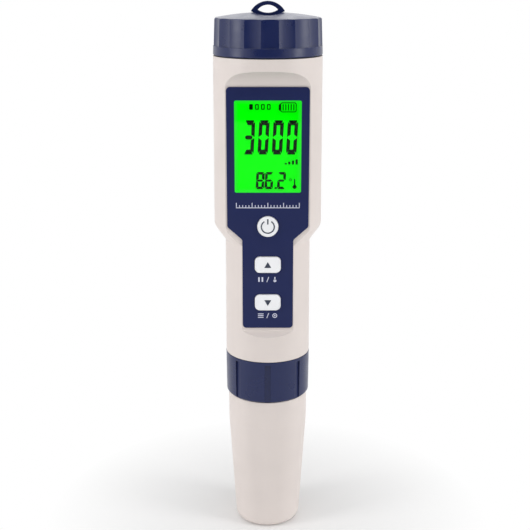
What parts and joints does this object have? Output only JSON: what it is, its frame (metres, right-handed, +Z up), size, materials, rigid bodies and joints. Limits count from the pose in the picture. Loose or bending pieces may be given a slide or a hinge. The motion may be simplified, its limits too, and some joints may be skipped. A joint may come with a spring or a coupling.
{
  "type": "salinity and ph tester",
  "caption": "Pocket water tester: stepped round housing with a sunk flat display, press keys, fluted screw battery cap with lanyard eye, threaded collar, sensor probe and pull-off cap.",
  "frame": {"origin": "middle of the flat base of the probe cap, on the axis of the tester", "axes": "+Z up the axis towards the lanyard eye, the display faces -Y, +X to the viewer's right"},
  "size_m": [0.0382, 0.038, 0.1937],
  "materials": {
    "housing_plastic": "satin moulded, warm off-white",
    "cap_plastic": "semi-gloss moulded, navy",
    "overlay_film": "printed film, smooth navy",
    "clear_window": "clear acrylic, polished",
    "lcd_green": "backlit display, green",
    "white_reflector": "moulded, white",
    "light_guide": "frosted acrylic, green light",
    "grey_rubber": "layered silicone",
    "board_green": "solder mask over glass laminate",
    "chip_black": "moulded, black",
    "screw_steel": "plated steel",
    "carrier_plastic": "moulded, dark grey",
    "cell_steel": "rolled nickel-plated steel",
    "spring_steel": "bright spring steel",
    "contact_brass": "gold-plated brass",
    "seal_rubber": "soft nitrile, black",
    "button_white": "smooth moulded, white",
    "probe_plastic": "moulded, black",
    "sensor_glass": "thin clear glass",
    "sensor_steel": "polished stainless steel",
    "junction_ceramic": "porous ceramic, off-white"
  },
  "bodies": {
    "housing": {"main_housing": "housing_plastic", "display_overlay": "overlay_film", "display_window": "clear_window", "lcd_glass": "lcd_green", "display_frame": "white_reflector", "backlight_panel": "light_guide", "zebra_strips": "grey_rubber", "main_board": "board_green", "board_chips": "chip_black", "switch_bodies": "chip_black", "board_screws": "screw_steel", "chassis": "carrier_plastic", "chassis_screws": "screw_steel", "battery_tube": "carrier_plastic", "button_cells": "cell_steel", "battery_spring": "spring_steel", "probe_socket": "carrier_plastic", "socket_contacts": "contact_brass", "battery_cap_seal": "seal_rubber"},
    "battery_contact_carrier": {"contact_disc": "carrier_plastic", "battery_contact": "spring_steel"},
    "battery_cap": {"battery_cap": "cap_plastic"},
    "power_key": {"power_button": "button_white", "power_switch_stem": "chip_black"},
    "up_key": {"up_button": "button_white", "up_switch_stem": "chip_black"},
    "down_key": {"down_button": "button_white", "down_switch_stem": "chip_black"},
    "probe": {"probe_body": "probe_plastic", "collar_retainer": "probe_plastic", "probe_seal": "seal_rubber", "cap_seal": "seal_rubber", "probe_pins": "contact_brass", "ph_bulb": "sensor_glass", "ph_stem": "sensor_glass", "conductivity_pins": "sensor_steel", "temperature_sensor": "sensor_steel", "reference_junction": "junction_ceramic", "probe_guard": "probe_plastic"},
    "collar": {"threaded_collar": "cap_plastic"},
    "probe_cap": {"probe_cap": "housing_plastic"}
  },
  "joints": [
    {"name": "battery_cap_lift", "type": "slide", "parent": "housing", "child": "battery_contact_carrier", "axis": [0, 0, 1], "range_m": [0, 0.006]},
    {"name": "battery_cap_turn", "type": "hinge", "parent": "battery_contact_carrier", "child": "battery_cap", "pos_m": [0, 0, 0.1759], "axis": [0, 0, 1], "range_deg": [0, 1080]},
    {"name": "power_press", "type": "slide", "parent": "housing", "child": "power_key", "axis": [0, 1, 0], "range_m": [0, 0.0005], "stiffness_N_per_m": 400},
    {"name": "up_press", "type": "slide", "parent": "housing", "child": "up_key", "axis": [0, 1, 0], "range_m": [0, 0.0005], "stiffness_N_per_m": 400},
    {"name": "down_press", "type": "slide", "parent": "housing", "child": "down_key", "axis": [0, 1, 0], "range_m": [0, 0.0005], "stiffness_N_per_m": 400},
    {"name": "probe_withdraw", "type": "slide", "parent": "housing", "child": "probe", "axis": [0, 0, -1], "range_m": [0, 0.0075]},
    {"name": "collar_turn", "type": "hinge", "parent": "probe", "child": "collar", "pos_m": [0, 0, 0.0526], "axis": [0, 0, -1], "range_deg": [0, 1080]},
    {"name": "probe_cap_pull", "type": "slide", "parent": "probe", "child": "probe_cap", "axis": [0, 0, -1], "range_m": [0, 0.055]}
  ],
  "couplings": [
    {"joint": "battery_cap_turn", "follows": "battery_cap_lift", "rad_per_m": 3141.5},
    {"joint": "collar_turn", "follows": "probe_withdraw", "rad_per_m": 2513.2}
  ]
}
